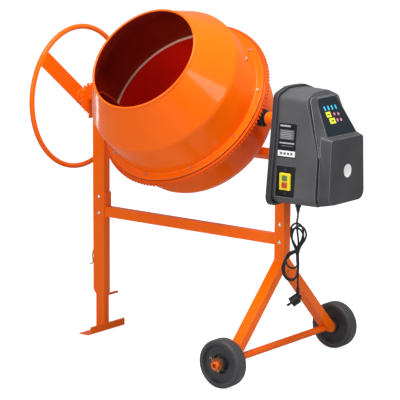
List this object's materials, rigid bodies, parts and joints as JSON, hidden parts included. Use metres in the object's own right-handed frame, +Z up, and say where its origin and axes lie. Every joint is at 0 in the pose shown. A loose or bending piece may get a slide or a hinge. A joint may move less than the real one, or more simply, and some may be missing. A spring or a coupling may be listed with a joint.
{
  "type": "concrete mixer",
  "caption": "Portable drum concrete mixer on a two-post wheeled stand, with a tilting yoke, handwheel, ring gear, motor housing and mains lead.",
  "frame": {"origin": "on the floor, in the middle of the footprint of the machine without its mains lead", "axes": "+X towards the motor housing along the tilting axis, +Y away from the side that the drum mouth faces, +Z up"},
  "size_m": [1.2244, 0.784, 1.2588],
  "materials": {
    "orange_paint": "gloss",
    "drum_paint": "gloss outside, dark primer inside",
    "gear_paint": "gloss over cast teeth",
    "zinc_steel": "zinc plated",
    "machined_steel": "machined",
    "bronze": "sintered",
    "cast_iron": "as cast",
    "motor_aluminium": "cast",
    "housing_plastic": "fine grain",
    "rim_plastic": "fine grain",
    "label_gloss": "glossy film",
    "wheel_plastic": "satin",
    "tyre_rubber": "satin rubber",
    "belt_rubber": "matte",
    "switch_yellow": "satin",
    "button_green": "satin",
    "button_red": "satin",
    "gland_plastic": "satin",
    "cord_rubber": "satin rubber"
  },
  "bodies": {
    "frame": {"left_post": "orange_paint", "left_bush": "bronze", "right_post": "orange_paint", "cross_beam": "orange_paint", "beam_brackets": "orange_paint", "frame_bolts": "zinc_steel", "lower_leg": "orange_paint", "foot": "orange_paint", "leg_pin": "zinc_steel", "wire_clip": "zinc_steel", "front_leg": "orange_paint", "rear_leg": "orange_paint", "axle": "orange_paint", "axle_fasteners": "zinc_steel", "motor": "motor_aluminium", "motor_plate": "orange_paint", "capacitor": "rim_plastic", "drive_belt": "belt_rubber", "back_cover": "rim_plastic", "main_cover": "housing_plastic", "front_cover": "housing_plastic", "label_panel": "label_gloss", "switch_panel": "housing_plastic", "switch_box": "switch_yellow", "cover_screws": "zinc_steel", "cord_gland": "gland_plastic", "cord_lead": "cord_rubber", "cord_hank": "cord_rubber", "cord_tail": "cord_rubber", "plug": "cord_rubber"},
    "yoke": {"yoke_bar": "orange_paint", "yoke_arm_left": "orange_paint", "yoke_arm_right": "orange_paint", "drum_spindle": "machined_steel", "left_trunnion": "machined_steel", "right_trunnion": "machined_steel", "pinion_bearings": "bronze", "handwheel": "orange_paint", "handwheel_bolts": "zinc_steel", "lock_disc": "orange_paint"},
    "drum": {"drum_cone": "drum_paint", "drum_bowl": "drum_paint", "ring_gear": "gear_paint", "drum_bolts": "zinc_steel", "mixing_blades": "drum_paint", "drum_hub": "cast_iron", "hub_bearings": "machined_steel", "hub_cap": "housing_plastic"},
    "pinion": {"pinion_gear": "cast_iron", "pinion_shaft": "machined_steel", "big_pulley": "cast_iron"},
    "motor_rotor": {"rotor": "machined_steel", "motor_pulley": "cast_iron"},
    "wheel_front": {"rim_front": "wheel_plastic", "tyre_front": "tyre_rubber"},
    "wheel_rear": {"rim_rear": "wheel_plastic", "tyre_rear": "tyre_rubber"},
    "lock_lever": {"lock_lever": "orange_paint"},
    "start_button": {"start_button": "button_green"},
    "stop_button": {"stop_button": "button_red"}
  },
  "joints": [
    {"name": "yoke_tilt", "type": "hinge", "parent": "frame", "child": "yoke", "pos_m": [-0.07475, 0.00002, 0.8885], "axis": [1, 0, 0], "range_deg": [-45, 90]},
    {"name": "drum_spin", "type": "hinge", "parent": "yoke", "child": "drum", "pos_m": [-0.07475, 0.00002, 0.8885], "axis": [0, -0.7859, 0.6184], "continuous": true},
    {"name": "pinion_spin", "type": "hinge", "parent": "yoke", "child": "pinion", "pos_m": [-0.07475, 0.00002, 0.8885], "axis": [1, 0, 0], "continuous": true},
    {"name": "motor_spin", "type": "hinge", "parent": "frame", "child": "motor_rotor", "pos_m": [-0.07475, 0.00002, 0.7035], "axis": [1, 0, 0], "continuous": true},
    {"name": "wheel_front_spin", "type": "hinge", "parent": "frame", "child": "wheel_front", "pos_m": [0.34525, -0.34248, 0.0855], "axis": [0, 1, 0], "continuous": true},
    {"name": "wheel_rear_spin", "type": "hinge", "parent": "frame", "child": "wheel_rear", "pos_m": [0.34525, 0.34252, 0.0855], "axis": [0, 1, 0], "continuous": true},
    {"name": "lock_lever_turn", "type": "hinge", "parent": "frame", "child": "lock_lever", "pos_m": [-0.54975, 0.06202, 0.8275], "axis": [1, 0, 0], "range_deg": [-8, 10]},
    {"name": "start_press", "type": "slide", "parent": "frame", "child": "start_button", "axis": [0, 1, 0], "range_m": [0, 0.004], "stiffness_N_per_m": 400, "springref_m": -0.002},
    {"name": "stop_press", "type": "slide", "parent": "frame", "child": "stop_button", "axis": [0, 1, 0], "range_m": [0, 0.004], "stiffness_N_per_m": 400, "springref_m": -0.002}
  ],
  "couplings": [
    {"joint": "pinion_spin", "follows": "drum_spin", "ratio": -12},
    {"joint": "motor_spin", "follows": "drum_spin", "ratio": -50.4}
  ]
}
